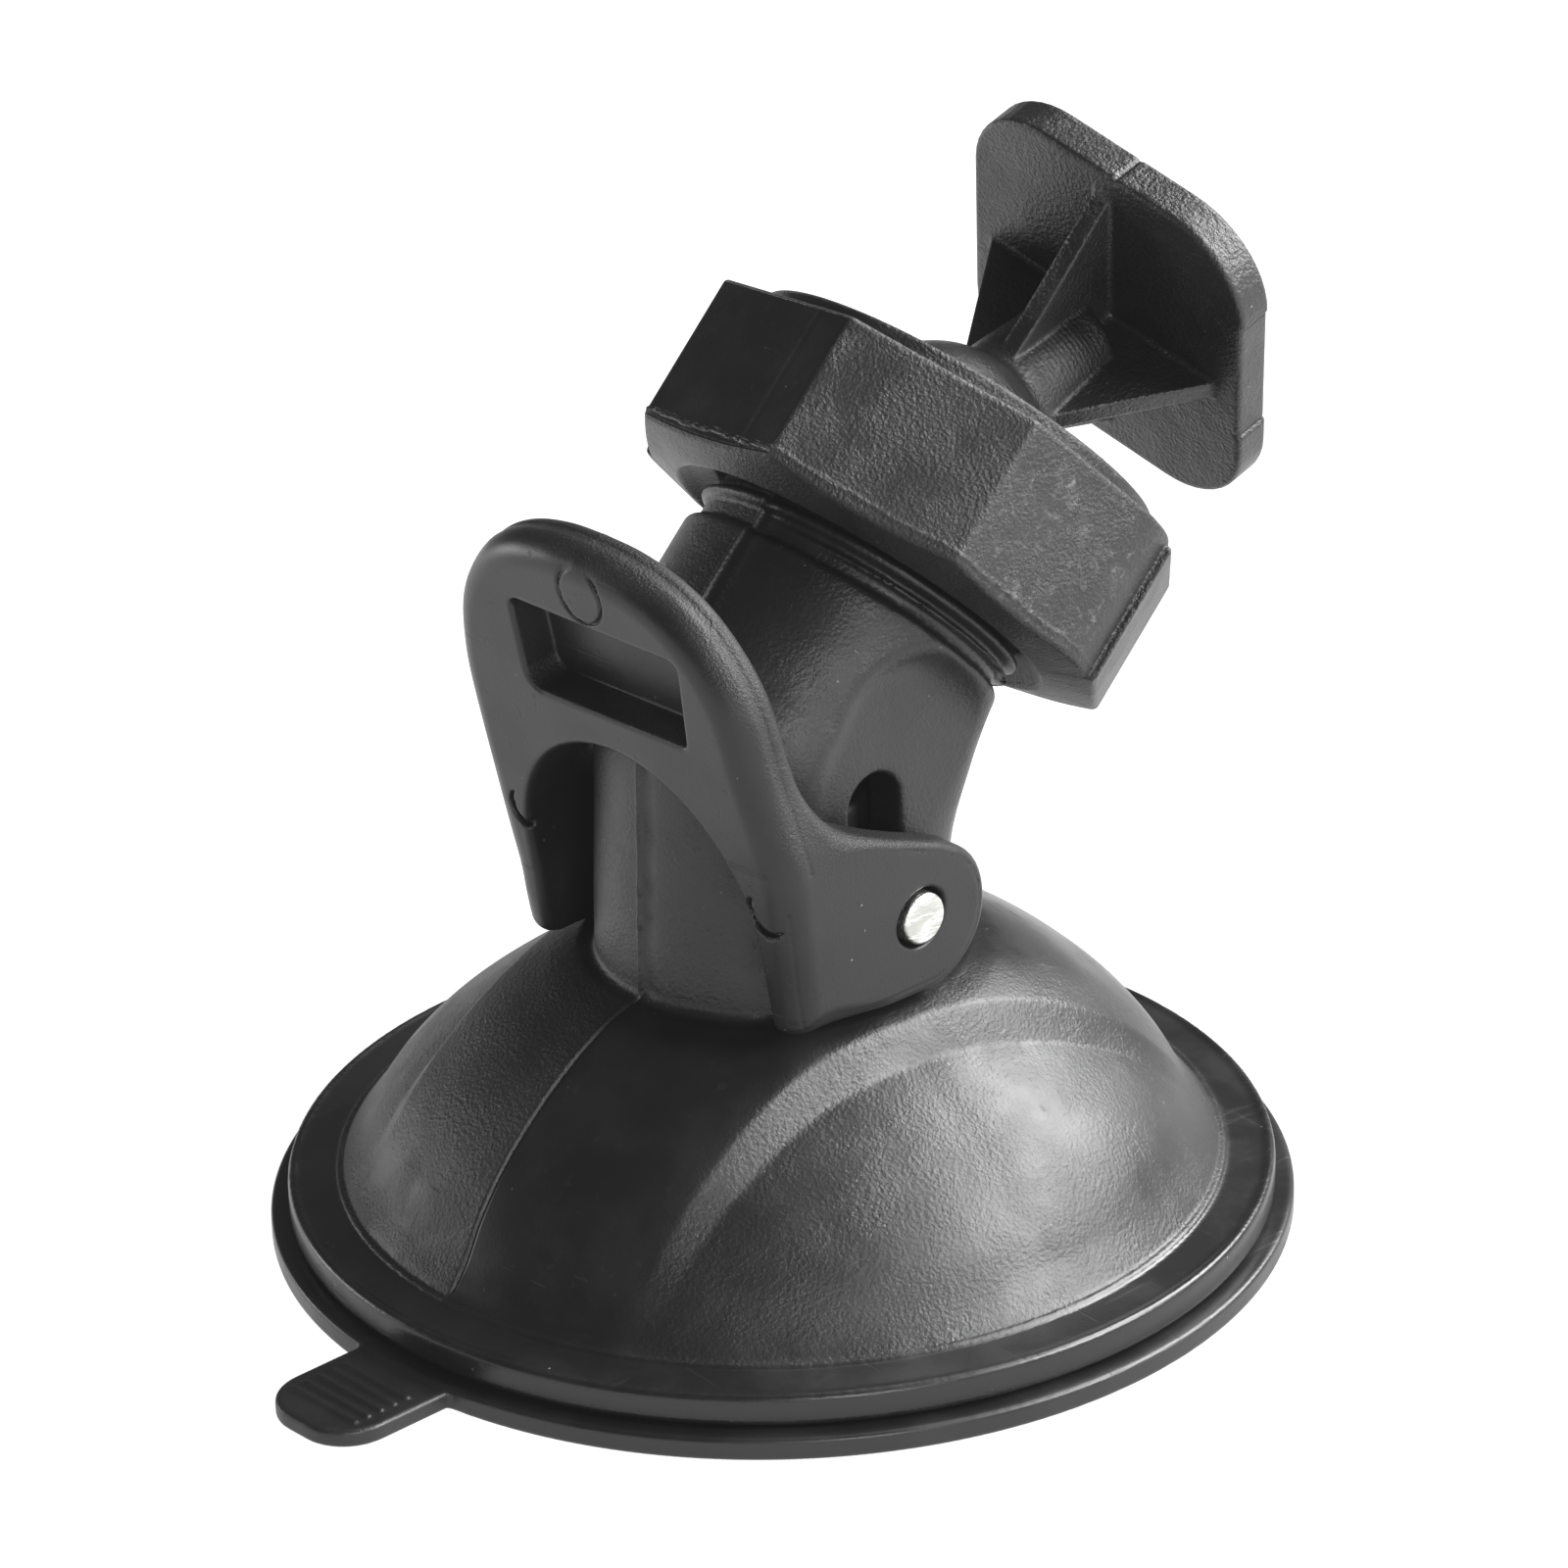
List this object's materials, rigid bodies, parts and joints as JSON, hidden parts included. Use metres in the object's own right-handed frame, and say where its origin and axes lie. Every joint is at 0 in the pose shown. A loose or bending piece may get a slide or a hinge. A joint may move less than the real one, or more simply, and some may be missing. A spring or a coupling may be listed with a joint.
{
  "type": "dash camera windscreen mount",
  "caption": "Suction-cup windscreen mount for a dash camera, with a fold-down vacuum lever, a leaning tower, a ball joint with a collar nut and a ribbed camera plate.",
  "frame": {"origin": "centre of the suction pad's flat underside, where it meets the glass", "axes": "+Z out of the glass up the neck; -Y to the pad's pull tab and the lever's handle; +Y to where the ball tower leans; +X along the lever pin"},
  "size_m": [0.055, 0.0649, 0.0555],
  "materials": {
    "pad_vinyl": "smooth satin soft vinyl",
    "housing_abs": "fine spark-eroded matte moulding",
    "lever_abs": "smooth satin moulding with a bright rim",
    "nut_abs": "leathery grain with rubbed corners",
    "head_nylon": "pebbled plate with smoother ribs and ball",
    "inner_pom": "plain smooth moulding",
    "pin_steel": "cut and brushed",
    "spring_steel": "drawn wire"
  },
  "bodies": {
    "base": {"base_housing": "housing_abs", "suction_pad": "pad_vinyl", "return_spring": "spring_steel"},
    "pull_core": {"pull_stem": "inner_pom", "lever_pin": "pin_steel"},
    "lever": {"lever": "lever_abs"},
    "seat": {"ball_seat": "inner_pom"},
    "head": {"camera_head": "head_nylon"},
    "ring": {"grip_ring": "inner_pom"},
    "nut": {"collar_nut": "nut_abs"}
  },
  "joints": [
    {"name": "pull_slide", "type": "slide", "parent": "base", "child": "pull_core", "axis": [0, 0, 1], "range_m": [0, 0.00421], "deforming": ["return_spring"]},
    {"name": "lever_fold", "type": "hinge", "parent": "pull_core", "child": "lever", "pos_m": [0, 0.0003, 0.0208], "axis": [1, 0, 0], "range_deg": [0, 80]},
    {"name": "ring_slide", "type": "slide", "parent": "base", "child": "ring", "axis": [0, 0.7193, 0.6947], "range_m": [0, 0.00113]},
    {"name": "nut_turn", "type": "hinge", "parent": "ring", "child": "nut", "pos_m": [0, 0.0123, 0.03988], "axis": [0, 0.7193, 0.6947], "range_deg": [0, 270]},
    {"name": "seat_swivel", "type": "hinge", "parent": "base", "child": "seat", "pos_m": [0, 0.0123, 0.03988], "axis": [0, 0.7193, 0.6947], "continuous": true},
    {"name": "head_tilt", "type": "hinge", "parent": "seat", "child": "head", "pos_m": [0, 0.0123, 0.03988], "axis": [1, 0, 0], "range_deg": [-3, 55]}
  ],
  "couplings": [
    {"joint": "pull_slide", "follows": "lever_fold", "m_per_rad": 0.003008},
    {"joint": "ring_slide", "follows": "nut_turn", "m_per_rad": 0.00023873}
  ]
}
